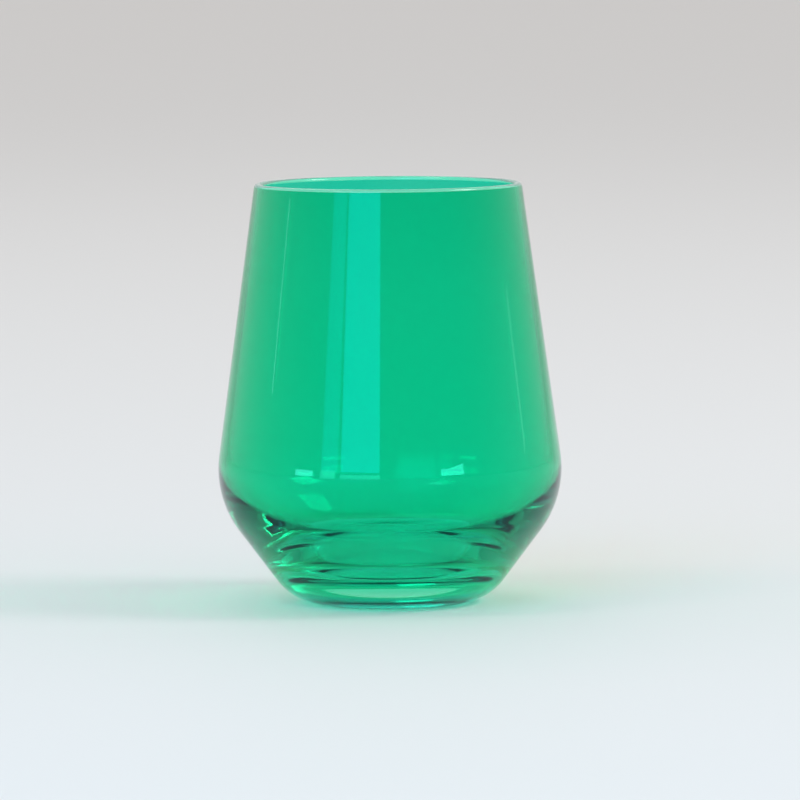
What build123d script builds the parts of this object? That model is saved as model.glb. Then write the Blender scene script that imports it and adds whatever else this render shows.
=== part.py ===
from build123d import *
import math
import os

# A stemless wine glass: a heavy-bottomed tumbler of clear glass, with a thin coat of transparent
# green lacquer over its outside. The origin is the centre of the ring that it stands on, and +Z is
# up. All sizes are in millimetres.

# Outside of the glass: a straight leaning wall, a round shoulder and a cone down to the foot.
# The shoulder and the foot are given by the corners that their roundings take off.
height = 108.0
rim_radius = 34.3
shoulder_radius = 45.3
shoulder_height = 27.4
shoulder_round = 26.5
foot_radius = 24.7
foot_round = 15.0

# Inside of the bowl, from the middle upwards: a slightly dished floor, a round, a short cone, the
# round hollow of the shoulder, and the wall
wall = 1.7
floor_height = 10.3
floor_radius = 18.0
floor_dish = 450.0
bowl_round = 16.8
bowl_lean = math.radians(47)
hollow_round = 17.0

# Underside: a resting ring round a shallow push-up
push_up_radius = 14.5
push_up_height = 0.4

# Lacquer coat: it stops on the foot's rounding, above the surface that the glass stands on
coat = 0.1
coat_bottom = 2.0

# The wall's lean, and the points of the full-round lip
lean = math.atan2(shoulder_radius - rim_radius, height - shoulder_height)
lip_round = wall / 2
lip_centre = Vector(rim_radius - lip_round / math.cos(lean), height - lip_round)
lip_out = lip_centre + Vector(math.cos(lean), math.sin(lean)) * lip_round
lip_in = lip_centre - Vector(math.cos(lean), math.sin(lean)) * lip_round
lip_crest = lip_centre + Vector(0, lip_round)

os.makedirs("parts", exist_ok=True)


def outside():
    """The outline of the glass from the edge of the lip down to the edge of the push-up."""
    return FilletPolyline(
        lip_out,
        (shoulder_radius, shoulder_height),
        (foot_radius, 0),
        (push_up_radius, 0),
        radius=[shoulder_round, foot_round],
    )


def inside():
    """The outline of the bowl from the middle of its floor up to the edge of the lip."""
    slope = math.asin(floor_radius / floor_dish)
    floor = JernArc((0, floor_height), (1, 0), floor_dish, math.degrees(slope))
    rise = 90 - math.degrees(bowl_lean + slope)
    bowl = JernArc(floor @ 1, floor % 1, bowl_round, rise)
    # the hollow's corner is where the cone meets the line of the wall
    start = bowl @ 1
    run = lip_in.X + lip_in.Y * math.tan(lean) - start.X + start.Y * math.tan(bowl_lean)
    corner_height = run / (math.tan(lean) + math.tan(bowl_lean))
    corner_radius = start.X + (corner_height - start.Y) * math.tan(bowl_lean)
    FilletPolyline(start, (corner_radius, corner_height), lip_in, radius=[hollow_round])


# Glass body: the bowl, its lip and the heavy base are one piece of clear glass
with BuildPart() as glass_body:
    with BuildSketch(Plane.XZ):
        with BuildLine():
            outside()
            TangentArc((0, push_up_height), (push_up_radius, 0), tangent=(1, 0))
            Line((0, push_up_height), (0, floor_height))
            inside()
            ThreePointArc(lip_in, lip_crest, lip_out)
        make_face()
    revolve(axis=Axis.Z)
glass_body.part.label = "glass_body"
export_step(glass_body.part, "parts/glass_body.step")

# Colour coat: a film of lacquer bonded to the outside wall, the shoulder and the foot
with BuildPart() as colour_coat:
    with BuildSketch(Plane.XZ):
        with BuildLine():
            outline = outside()
            offset(outline, amount=coat, side=Side.LEFT)
        make_face()
    revolve(axis=Axis.Z)
    split(bisect_by=Plane.XY.offset(coat_bottom), keep=Keep.TOP)
colour_coat.part.label = "colour_coat"
export_step(colour_coat.part, "parts/colour_coat.step")
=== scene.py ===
import math

import bpy
import numpy as np
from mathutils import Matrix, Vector


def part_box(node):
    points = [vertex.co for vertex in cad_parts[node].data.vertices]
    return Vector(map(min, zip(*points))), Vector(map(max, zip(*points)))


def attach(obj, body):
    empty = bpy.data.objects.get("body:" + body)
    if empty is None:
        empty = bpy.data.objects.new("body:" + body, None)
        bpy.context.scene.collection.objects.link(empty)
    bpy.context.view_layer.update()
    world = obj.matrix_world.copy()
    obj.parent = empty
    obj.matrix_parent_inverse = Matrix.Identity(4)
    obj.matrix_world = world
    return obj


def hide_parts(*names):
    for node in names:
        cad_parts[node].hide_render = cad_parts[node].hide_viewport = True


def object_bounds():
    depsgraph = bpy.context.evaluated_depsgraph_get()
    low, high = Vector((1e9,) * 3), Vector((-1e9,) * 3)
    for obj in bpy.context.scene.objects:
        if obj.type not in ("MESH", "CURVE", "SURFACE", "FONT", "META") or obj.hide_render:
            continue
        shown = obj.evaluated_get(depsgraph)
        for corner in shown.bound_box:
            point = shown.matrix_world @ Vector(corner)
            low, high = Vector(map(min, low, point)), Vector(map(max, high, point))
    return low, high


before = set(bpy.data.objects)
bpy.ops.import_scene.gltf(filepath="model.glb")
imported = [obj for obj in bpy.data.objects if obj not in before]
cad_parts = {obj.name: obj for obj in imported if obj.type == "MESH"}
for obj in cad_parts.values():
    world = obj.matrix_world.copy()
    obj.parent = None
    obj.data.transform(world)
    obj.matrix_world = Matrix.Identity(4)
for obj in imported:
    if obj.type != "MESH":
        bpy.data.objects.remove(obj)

bl_info = {
    "name": "Stemless Wine Glass",
    "version": (1, 0, 0),
    "blender": (4, 5, 0),
    "location": "View3D > Sidebar > Glassware",
    "description": "A stemless wine glass of clear glass with a transparent green coat outside",
    "category": "Add Mesh",
}

# The CAD model's box, straight after loading, and the two CAD nodes that the pieces stand for
CAD_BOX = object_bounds()
BODY_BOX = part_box("glass_body")
COAT_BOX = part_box("colour_coat")
BODY = "root"

MM = 0.001
HEIGHT = BODY_BOX[1][2] - BODY_BOX[0][2]
COAT_THICKNESS = COAT_BOX[1][0] - BODY_BOX[1][0]
COAT_BOTTOM = COAT_BOX[0][2]

# How finely the surfaces are divided: points round the axis, degrees between the points of a
# round, and the longest step along a straight run
ROUND_POINTS = 352
ARC_STEP = math.radians(1.6)
LINE_STEP = 2.5 * MM
DISH_POINTS = 12
PUSH_UP_POINTS = 14
SAME_POINT = 1e-9

# Soda-lime glass, and the lacquer on it
SODA_LIME_IOR = 1.51
# Slow waves in the surface, and the clouds that a spray gun leaves
WAVE_LENGTH = 22 * MM
WAVE_HEIGHT = 0.006 * MM
CLOUD_SIZE = 30 * MM

# Sockets of the Mix node: A, B and the result, for colours and for numbers
COLOUR_A, COLOUR_B, COLOUR_RESULT = 6, 7, 2
NUMBER_A, NUMBER_B, NUMBER_RESULT = 2, 3, 0

# The floor lies just under the glass, so that the two faces don't share a plane
FLOOR_GAP = 0.02 * MM


# ---------------------------------------------------------------- outlines


def arc(centre, radius, start, end):
    """Points on a circle: centre + radius * (cos a, sin a), a going evenly from start to end."""
    count = max(3, math.ceil(abs(end - start) / ARC_STEP))
    angle = np.linspace(start, end, count)
    return np.column_stack([centre[0] + radius * np.cos(angle), centre[1] + radius * np.sin(angle)])


def run(start, end):
    """Points on a straight line: start + t * (end - start), t going evenly from 0 to 1."""
    start, end = np.asarray(start, float), np.asarray(end, float)
    count = max(2, math.ceil(np.linalg.norm(end - start) / LINE_STEP) + 1)
    return start + np.linspace(0, 1, count)[:, None] * (end - start)


def rounding(before, corner, after, radius):
    """The arc that rounds a corner. Its centre lies on the corner's bisector, at
    radius / sin(half the angle), so that both sides are tangent to it."""
    corner = np.asarray(corner, float)
    back = (before - corner) / np.linalg.norm(before - corner)
    ahead = (after - corner) / np.linalg.norm(after - corner)
    half = math.acos(back @ ahead) / 2
    bisector = (back + ahead) / np.linalg.norm(back + ahead)
    centre = corner + bisector * radius / math.sin(half)
    first = corner + back * radius / math.tan(half) - centre
    last = corner + ahead * radius / math.tan(half) - centre
    start = math.atan2(first[1], first[0])
    turn = (math.atan2(last[1], last[0]) - start + math.pi) % math.tau - math.pi
    return arc(centre, radius, start, start + turn)


def join(*stretches):
    """One outline from stretches end to end, with the repeated points between them left out."""
    points = np.vstack(stretches)
    apart = np.linalg.norm(np.diff(points, axis=0), axis=1) > SAME_POINT
    return points[np.append(True, apart)]


def lip(sizes):
    """The edges of the full-round lip: where it leaves the outer and the inner wall, its centre,
    and the wall's lean from the vertical."""
    lean = math.atan2(sizes.shoulder_radius - sizes.rim_radius, HEIGHT - sizes.shoulder_height)
    radius = sizes.wall / 2
    centre = np.array([sizes.rim_radius - radius / math.cos(lean), HEIGHT - radius])
    across = np.array([math.cos(lean), math.sin(lean)]) * radius
    return centre + across, centre - across, centre, lean


def outside_outline(sizes):
    """From the lip's outer edge down the wall, round the shoulder, down the cone and round the
    foot, to the edge of the push-up: a polyline with two rounded corners."""
    top = lip(sizes)[0]
    shoulder = np.array([sizes.shoulder_radius, sizes.shoulder_height])
    foot = np.array([sizes.foot_radius, 0.0])
    ring = np.array([sizes.push_up_radius, 0.0])
    first = rounding(top, shoulder, foot, sizes.shoulder_round)
    second = rounding(shoulder, foot, ring, sizes.foot_round)
    return join(run(top, first[0]), first, run(first[-1], second[0]), second, run(second[-1], ring))


def inside_outline(sizes):
    """From the lip's inner edge down to the middle of the floor: the wall, the hollow's round, a
    cone, the bowl's round and the dished floor, each tangent to the next."""
    top, lean = lip(sizes)[1], lip(sizes)[3]
    slope = math.asin(sizes.floor_radius / sizes.floor_dish)
    dish_centre = np.array([0.0, sizes.floor_height + sizes.floor_dish])
    edge = dish_centre + sizes.floor_dish * np.array([math.sin(slope), -math.cos(slope)])
    bowl_centre = edge + sizes.bowl_round * np.array([-math.sin(slope), math.cos(slope)])
    cone = sizes.bowl_lean
    start = bowl_centre + sizes.bowl_round * np.array([math.cos(cone), -math.sin(cone)])
    reach = top[0] + top[1] * math.tan(lean) - start[0] + start[1] * math.tan(cone)
    corner_height = reach / (math.tan(lean) + math.tan(cone))
    corner = np.array([start[0] + (corner_height - start[1]) * math.tan(cone), corner_height])
    hollow = rounding(top, corner, start, sizes.hollow_round)
    bowl = arc(bowl_centre, sizes.bowl_round, -cone, slope - math.pi / 2)
    angle = np.linspace(slope, 0, DISH_POINTS)[:, None]
    floor = dish_centre + sizes.floor_dish * np.hstack([np.sin(angle), -np.cos(angle)])
    return join(run(top, hollow[0]), hollow, run(hollow[-1], start), bowl, floor)


def underside_outline(sizes):
    """From the middle of the push-up out to its edge: an arc that is level at the axis, with
    radius (edge squared + rise squared) / (2 * rise)."""
    edge, rise = sizes.push_up_radius, sizes.push_up_height
    radius = (edge**2 + rise**2) / (2 * rise)
    angle = np.linspace(0, math.asin(edge / radius), PUSH_UP_POINTS)
    return np.column_stack([radius * np.sin(angle), rise - radius + radius * np.cos(angle)])


def moved_out(outline, distance):
    """The outline moved sideways by distance, away from the axis on an outline that runs down."""
    along = np.gradient(outline, axis=0)
    along /= np.linalg.norm(along, axis=1)[:, None]
    return outline + distance * np.column_stack([-along[:, 1], along[:, 0]])


def cut_at(outline, height):
    """The parts of a falling outline above and below a height, both with the point on it."""
    above = outline[:, 1] > height
    last = int(np.count_nonzero(above))
    first, second = outline[last - 1], outline[last]
    on_it = first + (second - first) * (height - first[1]) / (second[1] - first[1])
    return np.vstack([outline[:last], on_it]), np.vstack([on_it, outline[last:]])


# ---------------------------------------------------------------- meshes


def turned(name, stretches, closed):
    """A surface of revolution: each outline point (r, z) becomes the ring (r cos a, r sin a, z).

    stretches is a list of (outline, slot): each run of faces has its own material slot, and the
    edges between two stretches are sharp. With closed, the last point joins the first. Otherwise
    the outline starts and ends on the axis, and the two points there are single poles."""
    points = np.vstack([stretches[0][0]] + [outline[1:] for outline, _ in stretches[1:]])
    slots = np.concatenate([np.full(len(outline) - 1, slot) for outline, slot in stretches])
    ends = np.cumsum([len(outline) - 1 for outline, _ in stretches])
    if closed:
        points = points[:-1]
    rings = points if closed else points[1:-1]
    around = np.linspace(0, math.tau, ROUND_POINTS, endpoint=False)
    circle = np.stack([np.cos(around), np.sin(around)])
    across = rings[:, 0, None, None] * circle
    upward = np.broadcast_to(rings[:, 1, None], (len(rings), ROUND_POINTS))
    verts = np.stack([across[:, 0], across[:, 1], upward], axis=-1).reshape(-1, 3)
    here = np.arange(ROUND_POINTS)
    beyond = np.roll(here, -1)
    first = np.arange(len(rings) if closed else len(rings) - 1)[:, None] * ROUND_POINTS
    second = (first + ROUND_POINTS) % len(verts)
    corners = np.stack([first + here, first + beyond, second + beyond, second + here], axis=-1)
    quads = corners.reshape(-1, 4)
    fans = np.zeros((0, 3), int)
    if closed:
        quad_slots = np.repeat(slots, ROUND_POINTS)
        fan_slots = np.zeros(0, int)
        sharp_rings = ends % len(rings)
    else:
        start, end = len(verts), len(verts) + 1
        verts = np.vstack([verts, [0, 0, points[0, 1]], [0, 0, points[-1, 1]]])
        last_ring = (len(rings) - 1) * ROUND_POINTS
        opening = np.column_stack([np.full(ROUND_POINTS, start), beyond, here])
        closing = np.column_stack([last_ring + here, last_ring + beyond, np.full(ROUND_POINTS, end)])
        fans = np.vstack([opening, closing])
        quad_slots = np.repeat(slots[1:-1], ROUND_POINTS)
        fan_slots = np.repeat([slots[0], slots[-1]], ROUND_POINTS)
        sharp_rings = ends[:-1] - 1
    mesh = bpy.data.meshes.new(name)
    mesh.from_pydata(verts.tolist(), [], quads.tolist() + fans.tolist())
    mesh.polygons.foreach_set("material_index", np.concatenate([quad_slots, fan_slots]).astype(np.int32))
    mesh.polygons.foreach_set("use_smooth", np.ones(len(mesh.polygons), bool))
    edges = np.empty(len(mesh.edges) * 2, np.int32)
    mesh.edges.foreach_get("vertices", edges)
    ring_of = edges.reshape(-1, 2) // ROUND_POINTS
    sharp = (ring_of[:, 0] == ring_of[:, 1]) & np.isin(ring_of[:, 0], sharp_rings)
    mesh.edges.foreach_set("use_edge_sharp", sharp)
    mesh.update()
    piece = bpy.data.objects.new(name, mesh)
    bpy.context.scene.collection.objects.link(piece)
    return piece


def face_outwards(piece):
    """Turns every face over if the surface's signed volume, the sum of each face's centre dotted
    with its normal and area, comes out negative."""
    mesh = piece.data
    count = len(mesh.polygons)
    centres, normals, areas = np.empty(count * 3), np.empty(count * 3), np.empty(count)
    mesh.polygons.foreach_get("center", centres)
    mesh.polygons.foreach_get("normal", normals)
    mesh.polygons.foreach_get("area", areas)
    flow = np.sum(centres.reshape(-1, 3) * normals.reshape(-1, 3), axis=1) @ areas
    if flow < 0:
        mesh.flip_normals()
        mesh.update()


def cover(piece, full_height, bare_height):
    """Stores how thick the coat is at each point, from 1 above full_height, falling smoothly to 0
    at bare_height: t * t * (3 - 2 t), where t is the height's share of the way up."""
    mesh = piece.data
    verts = np.empty(len(mesh.vertices) * 3)
    mesh.vertices.foreach_get("co", verts)
    share = np.clip((verts[2::3] - bare_height) / (full_height - bare_height), 0, 1)
    thickness = share * share * (3 - 2 * share)
    layer = mesh.attributes.new("coat_thickness", "FLOAT", "POINT")
    layer.data.foreach_set("value", thickness.astype(np.float32))


# ---------------------------------------------------------------- materials


def linear(code):
    """The linear RGB colour of an sRGB hex code: c / 12.92 where c is at most 0.04045, and
    ((c + 0.055) / 1.055) ** 2.4 above that."""
    parts = [int(code[i : i + 2], 16) / 255 for i in (0, 2, 4)]
    return tuple(c / 12.92 if c <= 0.04045 else ((c + 0.055) / 1.055) ** 2.4 for c in parts)


def add_node(tree, kind, settings=None, links=None):
    """Adds a node, sets its properties and unlinked sockets, and links sockets to outputs."""
    node = tree.nodes.new(kind)
    for key, value in (settings or {}).items():
        if isinstance(key, str) and hasattr(node, key):
            setattr(node, key, value)
        else:
            node.inputs[key].default_value = value
    for key, output in (links or {}).items():
        tree.links.new(output, node.inputs[key])
    return node


def new_material(name):
    """An empty node material with its output node."""
    material = bpy.data.materials.new(name)
    material.use_nodes = True
    material.node_tree.nodes.clear()
    return material, material.node_tree


def waviness(tree):
    """A bump of slow waves, as on glass that was blown or fire polished: they pull long
    reflections slightly out of true. Noise on Object coordinates, drawn out up the wall."""
    place = add_node(tree, "ShaderNodeTexCoord")
    stretch = add_node(
        tree, "ShaderNodeMapping", {"Scale": (1.0, 1.0, 0.35)}, {"Vector": place.outputs["Object"]}
    )
    noise = add_node(
        tree,
        "ShaderNodeTexNoise",
        {"Scale": 1 / WAVE_LENGTH, "Detail": 1.0, "Roughness": 0.4},
        {"Vector": stretch.outputs["Vector"]},
    )
    return add_node(
        tree,
        "ShaderNodeBump",
        {"Distance": WAVE_HEIGHT, "Strength": 1.0},
        {"Height": noise.outputs["Fac"]},
    )


def finish_glass(tree, settings, links):
    """Puts one glass shader on the material's output."""
    shader = add_node(
        tree,
        "ShaderNodeBsdfPrincipled",
        {"Roughness": 0.0, "Transmission Weight": 1.0, **settings},
        links,
    )
    add_node(tree, "ShaderNodeOutputMaterial", {}, {"Surface": shader.outputs["BSDF"]})


def clear_glass():
    """Soda-lime glass, blown and fire polished: clear, smooth, with slow waves in its surface."""
    material, tree = new_material("soda_lime_glass")
    waves = waviness(tree)
    finish_glass(
        tree,
        {"Base Color": (*linear("FBFFFD"), 1.0), "IOR": SODA_LIME_IOR},
        {"Normal": waves.outputs["Normal"]},
    )
    return material


def bonded_glass():
    """Glass under lacquer of the same index: light passes from one to the other and nothing shows."""
    material, tree = new_material("glass_bond")
    finish_glass(tree, {"Base Color": (1.0, 1.0, 1.0, 1.0), "IOR": 1.0}, {})
    return material


def lip_highlight_glass(finish):
    """The lip: pale green and partly cloudy, a painted highlight that makes the edge read as a soft
    light line."""
    material, tree = new_material("painted_highlight_lip_glass")
    finish_glass(
        tree,
        {
            # the lip's pale tint, a painted highlight along the rim
            "Base Color": (*finish.lip_highlight_colour, 1.0),
            "IOR": SODA_LIME_IOR,
            "Transmission Weight": 0.65,
        },
        {},
    )
    return material


def coat_colour(tree, colour, bare):
    """The coat's colour where it is full, going to the bare colour where it thins out, with the
    faint clouds that a spray gun leaves. amount = coat_thickness * clouds, and the colour is
    bare + amount * (colour - bare)."""
    place = add_node(tree, "ShaderNodeTexCoord")
    clouds = add_node(
        tree,
        "ShaderNodeTexNoise",
        {"Scale": 1 / CLOUD_SIZE, "Detail": 2.0, "Roughness": 0.5},
        {"Vector": place.outputs["Object"]},
    )
    depth = add_node(
        tree,
        "ShaderNodeMapRange",
        {"From Min": 0.3, "From Max": 0.7, "To Min": 0.94, "To Max": 1.0},
        {"Value": clouds.outputs["Fac"]},
    )
    layer = add_node(tree, "ShaderNodeAttribute", {"attribute_name": "coat_thickness"})
    amount = add_node(
        tree,
        "ShaderNodeMath",
        {"operation": "MULTIPLY"},
        {0: layer.outputs["Fac"], 1: depth.outputs["Result"]},
    )
    mix = add_node(
        tree,
        "ShaderNodeMix",
        {"data_type": "RGBA", COLOUR_A: bare, COLOUR_B: colour},
        {"Factor": amount.outputs["Value"]},
    )
    return mix.outputs[COLOUR_RESULT]


def lacquer_face(finish):
    """Baked transparent lacquer, sprayed: a glossy green face that light enters and leaves by. Its
    straight reflections are teal, and go white at a glancing angle: facing to the power of 10."""
    material, tree = new_material("lacquer_face")
    waves = waviness(tree)
    green = coat_colour(tree, (*finish.face_colour, 1.0), (*finish.bare_face, 1.0))
    facing = add_node(tree, "ShaderNodeLayerWeight", {"Blend": 0.5})
    edge = add_node(
        tree, "ShaderNodeMath", {"operation": "POWER", 1: 10.0}, {0: facing.outputs["Facing"]}
    )
    glint = add_node(
        tree,
        "ShaderNodeMix",
        {
            "data_type": "RGBA",
            COLOUR_A: (*finish.glint_colour, 1.0),
            COLOUR_B: (1.0, 1.0, 1.0, 1.0),
        },
        {"Factor": edge.outputs["Value"]},
    )
    finish_glass(
        tree,
        {"IOR": SODA_LIME_IOR},
        {
            "Base Color": green,
            "Specular Tint": glint.outputs[COLOUR_RESULT],
            "Normal": waves.outputs["Normal"],
        },
    )
    return material


def lacquer_bond(finish):
    """The lacquer where it meets the glass. It has the same index, so it only adds its colour, and
    light that turns back inside the glass passes it twice: the heavy base gets its dark streaks."""
    material, tree = new_material("lacquer_bond")
    green = coat_colour(tree, (*finish.depth_colour, 1.0), (*finish.bare_depth, 1.0))
    finish_glass(tree, {"IOR": 1.0}, {"Base Color": green})
    return material


# ---------------------------------------------------------------- stage


SKY, WHITE = linear("61CEFF"), linear("FFFFFF")

# The soft lights: name, azimuth, elevation, distance, (width, height), radiance and colour. Two
# tall windows in front to the left, low panes and shelves that show in the shoulder, narrow slots
# at both sides that draw long thin highlights, and panels overhead and behind that show inside.
PANELS = (
    ("window", -20, 26, 2.4, (1.15, 1.7), 3.4, SKY),
    ("window_foot", -20, 1.6, 2.3, (1.1, 0.18), 2.6, WHITE),
    ("side_window", -41, 26, 2.4, (0.5, 1.7), 1.7, SKY),
    ("low_pane", -42, 3.0, 2.2, (0.4, 0.3), 2.5, WHITE),
    ("shelf_left", -59, 3.3, 2.2, (0.5, 0.2), 6.0, WHITE),
    ("shelf_right", 42, 4.8, 2.2, (0.62, 0.24), 5.5, WHITE),
    ("slot_left", -92, 7.4, 2.4, (0.04, 0.12), 2.4, WHITE),
    ("slot_right", 104, 5, 2.4, (0.08, 0.1), 1.0, WHITE),
    ("ceiling_right", 80, 38, 2.2, (0.7, 0.7), 9.0, WHITE),
    ("ceiling_left", -60, 55, 2.2, (0.5, 0.5), 5.0, WHITE),
    ("back_top", -165, 45, 2.2, (0.6, 0.6), 1.6, WHITE),
)


def soft_panel(name, azimuth, elevation, distance, size, radiance, colour):
    """A rectangular soft light that faces the glass. azimuth is measured to the right of the
    camera and elevation up from the table, both in degrees as seen from the glass. radiance is how
    bright its face is, so its power is radiance * pi * area."""
    light = bpy.data.lights.new(name, "AREA")
    light.shape = "RECTANGLE"
    light.size, light.size_y = size
    light.energy = radiance * math.pi * size[0] * size[1]
    light.color = colour
    lamp = bpy.data.objects.new(name, light)
    bpy.context.scene.collection.objects.link(lamp)
    side, up = math.radians(azimuth), math.radians(elevation)
    towards = Vector((math.sin(side) * math.cos(up), -math.cos(side) * math.cos(up), math.sin(up)))
    lamp.location = Vector((0, 0, HEIGHT / 2)) + towards * distance
    lamp.rotation_euler = (-towards).to_track_quat("-Z", "Y").to_euler()


def studio_floor(stage):
    """A wide level floor of matt pale board."""
    half = stage.floor_size / 2
    mesh = bpy.data.meshes.new("studio_floor")
    level = CAD_BOX[0][2] - FLOOR_GAP
    corners = [(-half, -half, level), (half, -half, level), (half, half, level), (-half, half, level)]
    mesh.from_pydata(corners, [], [(0, 1, 2, 3)])
    floor = bpy.data.objects.new("studio_floor", mesh)
    bpy.context.scene.collection.objects.link(floor)
    material, tree = new_material("matt_board")
    shader = add_node(
        tree,
        "ShaderNodeBsdfPrincipled",
        {
            "Base Color": (*stage.floor_colour, 1.0),
            "Roughness": 0.7,
            "Specular IOR Level": 0.2,
        },
    )
    add_node(tree, "ShaderNodeOutputMaterial", {}, {"Surface": shader.outputs["BSDF"]})
    mesh.materials.append(material)


def studio_world(stage):
    """Soft light from all round: even near the floor, brightest from the large panels half way up,
    and dimmer overhead. The height is the z of the unit vector towards the light."""
    world = bpy.data.worlds.new("studio")
    world.use_nodes = True
    tree = world.node_tree
    tree.nodes.clear()
    direction = add_node(tree, "ShaderNodeTexCoord")
    parts = add_node(tree, "ShaderNodeSeparateXYZ", {}, {"Vector": direction.outputs["Generated"]})
    steps = ((0.12, 0.32, stage.side_light), (0.6, 0.85, stage.top_light))
    brightness = None
    for start, end, level in steps:
        rise = add_node(
            tree,
            "ShaderNodeMapRange",
            {"interpolation_type": "SMOOTHSTEP", "From Min": start, "From Max": end},
            {"Value": parts.outputs["Z"]},
        )
        mix = add_node(
            tree,
            "ShaderNodeMix",
            {"data_type": "FLOAT", NUMBER_A: stage.horizon_light, NUMBER_B: level},
            {"Factor": rise.outputs["Result"]},
        )
        if brightness:
            tree.links.new(brightness, mix.inputs[NUMBER_A])
        brightness = mix.outputs[NUMBER_RESULT]
    light = add_node(tree, "ShaderNodeBackground", {"Color": (1, 1, 1, 1)}, {"Strength": brightness})
    add_node(tree, "ShaderNodeOutputWorld", {}, {"Surface": light.outputs["Background"]})
    bpy.context.scene.world = world


def studio_camera(stage):
    """A long lens, a little above the rim, looking slightly down at the middle of the glass."""
    camera = bpy.data.cameras.new("camera")
    camera.lens = stage.lens
    camera.sensor_width = 36.0
    camera.clip_end = 200.0
    view = bpy.data.objects.new("camera", camera)
    bpy.context.scene.collection.objects.link(view)
    view.location = (0.0, -stage.camera_distance, stage.camera_height)
    view.rotation_euler = (
        math.pi / 2 - stage.camera_pitch,
        stage.camera_roll,
        -stage.camera_turn,
    )
    bpy.context.scene.camera = view


# ---------------------------------------------------------------- settings


class GlassSizes(bpy.types.PropertyGroup):
    """The glass body's sizes."""

    rim_radius: bpy.props.FloatProperty(
        name="Rim radius", description="Outside of the wall at the lip", default=34.3 * MM, unit="LENGTH"
    )
    shoulder_radius: bpy.props.FloatProperty(
        name="Shoulder radius", description="Corner of wall and cone", default=45.3 * MM, unit="LENGTH"
    )
    shoulder_height: bpy.props.FloatProperty(
        name="Shoulder height", description="Height of that corner", default=27.4 * MM, unit="LENGTH"
    )
    shoulder_round: bpy.props.FloatProperty(
        name="Shoulder round", description="Radius that rounds it", default=26.5 * MM, unit="LENGTH"
    )
    foot_radius: bpy.props.FloatProperty(
        name="Foot radius", description="Corner of cone and table", default=24.7 * MM, unit="LENGTH"
    )
    foot_round: bpy.props.FloatProperty(
        name="Foot round", description="Radius that rounds it", default=15.0 * MM, unit="LENGTH"
    )
    wall: bpy.props.FloatProperty(
        name="Wall", description="Thickness of the wall", default=1.7 * MM, unit="LENGTH"
    )
    floor_height: bpy.props.FloatProperty(
        name="Floor height", description="Base thickness at the axis", default=10.3 * MM, unit="LENGTH"
    )
    floor_radius: bpy.props.FloatProperty(
        name="Floor radius", description="Edge of the dished floor", default=18.0 * MM, unit="LENGTH"
    )
    floor_dish: bpy.props.FloatProperty(
        name="Floor dish", description="Radius of the floor's dish", default=450.0 * MM, unit="LENGTH"
    )
    bowl_round: bpy.props.FloatProperty(
        name="Bowl round", description="Radius outside the floor", default=16.8 * MM, unit="LENGTH"
    )
    bowl_lean: bpy.props.FloatProperty(
        name="Bowl lean", description="Lean of the inner cone", default=math.radians(47), unit="ROTATION"
    )
    hollow_round: bpy.props.FloatProperty(
        name="Hollow round", description="Radius inside the shoulder", default=17.0 * MM, unit="LENGTH"
    )
    push_up_radius: bpy.props.FloatProperty(
        name="Push-up radius", description="Inside of the resting ring", default=14.5 * MM, unit="LENGTH"
    )
    push_up_height: bpy.props.FloatProperty(
        name="Push-up height", description="Rise under the foot", default=0.4 * MM, unit="LENGTH"
    )


class CoatFinish(bpy.types.PropertyGroup):
    """The lacquer's colours. Light is tinted by the square root of each as it passes."""

    face_colour: bpy.props.FloatVectorProperty(
        name="Face", description="Tint of the lacquer's face", subtype="COLOR", default=linear("2BF3A6")
    )
    depth_colour: bpy.props.FloatVectorProperty(
        name="Depth", description="Tint of its depth", subtype="COLOR", default=linear("2BDCDD")
    )
    glint_colour: bpy.props.FloatVectorProperty(
        name="Glint",
        description="Tint of its straight reflections",
        subtype="COLOR",
        default=linear("48FFFA"),
    )
    bare_face: bpy.props.FloatVectorProperty(
        name="Thin face", description="Face tint where it thins", subtype="COLOR", default=linear("A4E8CF")
    )
    bare_depth: bpy.props.FloatVectorProperty(
        name="Thin depth",
        description="Depth tint where it thins",
        subtype="COLOR",
        default=linear("C6F0DF"),
    )
    # The lip's pale tint: a painted highlight that makes the rim a soft light line
    lip_highlight_colour: bpy.props.FloatVectorProperty(
        name="Lip highlight", description="Tint of the lip", subtype="COLOR", default=linear("9CF2D2")
    )
    full_height: bpy.props.FloatProperty(
        name="Full from", description="The coat is full above this", default=9.0 * MM, unit="LENGTH"
    )
    bond_gap: bpy.props.FloatProperty(
        name="Bond gap", description="Gap of the bonded faces", default=0.02 * MM, unit="LENGTH"
    )


class StageLook(bpy.types.PropertyGroup):
    """Floor, light and camera."""

    floor_size: bpy.props.FloatProperty(
        name="Floor size", description="Side of the floor", default=120.0, unit="LENGTH"
    )
    floor_colour: bpy.props.FloatVectorProperty(
        name="Floor", description="Colour of the board", subtype="COLOR", default=linear("E1DEDC")
    )
    horizon_light: bpy.props.FloatProperty(
        name="Horizon light", description="Brightness near the floor's level", default=0.75
    )
    side_light: bpy.props.FloatProperty(
        name="Side light", description="Brightness half way up", default=1.05
    )
    top_light: bpy.props.FloatProperty(
        name="Top light", description="Brightness overhead", default=0.47
    )
    lens: bpy.props.FloatProperty(name="Lens", description="Focal length in mm", default=298.7)
    camera_distance: bpy.props.FloatProperty(
        name="Camera distance", description="From the axis", default=1.7, unit="LENGTH"
    )
    camera_height: bpy.props.FloatProperty(
        name="Camera height", description="Above the table", default=0.1972, unit="LENGTH"
    )
    camera_pitch: bpy.props.FloatProperty(
        name="Camera pitch", description="Looking down", default=math.radians(4.88), unit="ROTATION"
    )
    camera_roll: bpy.props.FloatProperty(
        name="Camera roll", description="Turn about the view", default=math.radians(0.4), unit="ROTATION"
    )
    camera_turn: bpy.props.FloatProperty(
        name="Camera turn", description="Looking to the right", default=math.radians(0.125), unit="ROTATION"
    )


# ---------------------------------------------------------------- operators


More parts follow.
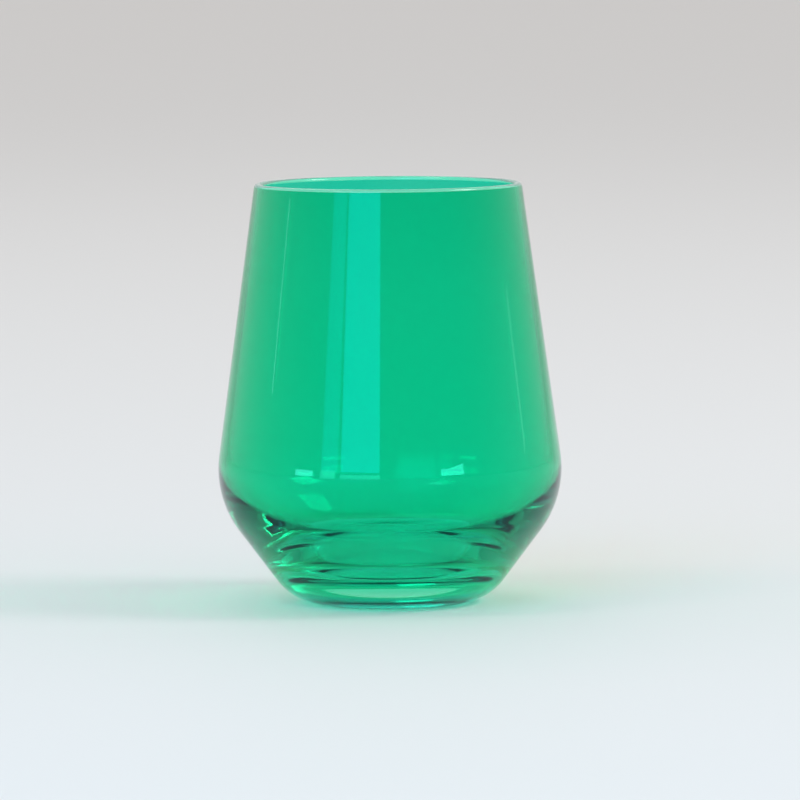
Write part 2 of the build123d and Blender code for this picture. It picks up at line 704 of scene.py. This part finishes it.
class GLASSWARE_OT_body(bpy.types.Operator):
    """Make the bowl, lip and heavy base of clear glass"""

    bl_idname = "glassware.body"
    bl_label = "Glass Body"

    def execute(self, context):
        sizes, finish = context.scene.glass_sizes, context.scene.coat_finish
        coated, bare = cut_at(outside_outline(sizes), COAT_BOTTOM)
        bonded = moved_out(coated, -finish.bond_gap)
        edge, inner_edge, centre, lean = lip(sizes)
        crest = arc(centre, sizes.wall / 2, lean, lean + math.pi)
        clear, under_lacquer, lip_highlight_slot = 0, 1, 2
        stretches = [
            (join(underside_outline(sizes)), clear),
            (bare[::-1], clear),
            (np.vstack([bare[0], bonded[-1]]), under_lacquer),
            (bonded[::-1], under_lacquer),
            (np.vstack([bonded[0], edge]), under_lacquer),
            # the lip's crest: pale, partly cloudy glass, a painted highlight along the rim
            (crest, lip_highlight_slot),
            (inside_outline(sizes), clear),
        ]
        piece = turned("glass_body_visual", stretches, closed=False)
        face_outwards(piece)
        piece.data.materials.append(clear_glass())
        piece.data.materials.append(bonded_glass())
        piece.data.materials.append(lip_highlight_glass(finish))
        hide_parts("glass_body")
        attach(piece, BODY)
        return {"FINISHED"}


class GLASSWARE_OT_coat(bpy.types.Operator):
    """Make the film of green lacquer over the outside"""

    bl_idname = "glassware.coat"
    bl_label = "Colour Coat"

    def execute(self, context):
        sizes, finish = context.scene.glass_sizes, context.scene.coat_finish
        glass = outside_outline(sizes)
        inner = cut_at(glass, COAT_BOTTOM)[0]
        outer = cut_at(moved_out(glass, COAT_THICKNESS), COAT_BOTTOM)[0]
        face, bond = 0, 1
        stretches = [
            (outer[::-1], face),
            (np.vstack([outer[0], inner[0]]), face),
            (inner, bond),
            (np.vstack([inner[-1], outer[-1]]), face),
        ]
        piece = turned("colour_coat_visual", stretches, closed=True)
        face_outwards(piece)
        cover(piece, finish.full_height, COAT_BOTTOM)
        piece.data.materials.append(lacquer_face(finish))
        piece.data.materials.append(lacquer_bond(finish))
        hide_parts("colour_coat")
        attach(piece, BODY)
        return {"FINISHED"}


class GLASSWARE_OT_stage(bpy.types.Operator):
    """Make the pale floor, the soft studio light and the camera"""

    bl_idname = "glassware.stage"
    bl_label = "Stage"

    def execute(self, context):
        stage = context.scene.stage_look
        studio_floor(stage)
        studio_world(stage)
        studio_camera(stage)
        for panel in PANELS:
            soft_panel(*panel)
        scene = context.scene
        scene.view_settings.view_transform = "Standard"
        scene.cycles.max_bounces = 80
        scene.cycles.transmission_bounces = 80
        scene.cycles.glossy_bounces = 40
        scene.cycles.transparent_max_bounces = 8
        scene.cycles.caustics_refractive = True
        scene.cycles.caustics_reflective = False
        scene.cycles.blur_glossy = 0.0
        scene.cycles.sample_clamp_indirect = 6.0
        return {"FINISHED"}


class GLASSWARE_PT_panel(bpy.types.Panel):
    """Lists the glass's pieces and settings"""

    bl_idname = "GLASSWARE_PT_panel"
    bl_label = "Stemless Wine Glass"
    bl_space_type = "VIEW_3D"
    bl_region_type = "UI"
    bl_category = "Glassware"

    def draw(self, context):
        for operator in OPERATORS:
            self.layout.operator(operator.bl_idname)
        for name, group in SETTINGS.items():
            box = self.layout.box()
            for key in group.__annotations__:
                box.prop(getattr(context.scene, name), key)


OPERATORS = (GLASSWARE_OT_stage, GLASSWARE_OT_body, GLASSWARE_OT_coat)
SETTINGS = {"glass_sizes": GlassSizes, "coat_finish": CoatFinish, "stage_look": StageLook}


def register():
    for group in (*SETTINGS.values(), *OPERATORS, GLASSWARE_PT_panel):
        bpy.utils.register_class(group)
    for name, group in SETTINGS.items():
        setattr(bpy.types.Scene, name, bpy.props.PointerProperty(type=group))


def unregister():
    for name in SETTINGS:
        delattr(bpy.types.Scene, name)
    for group in (GLASSWARE_PT_panel, *OPERATORS, *SETTINGS.values()):
        bpy.utils.unregister_class(group)


def main():
    register()
    bpy.ops.glassware.stage()
    bpy.ops.glassware.body()
    bpy.ops.glassware.coat()


if __name__ == "__main__":
    main()
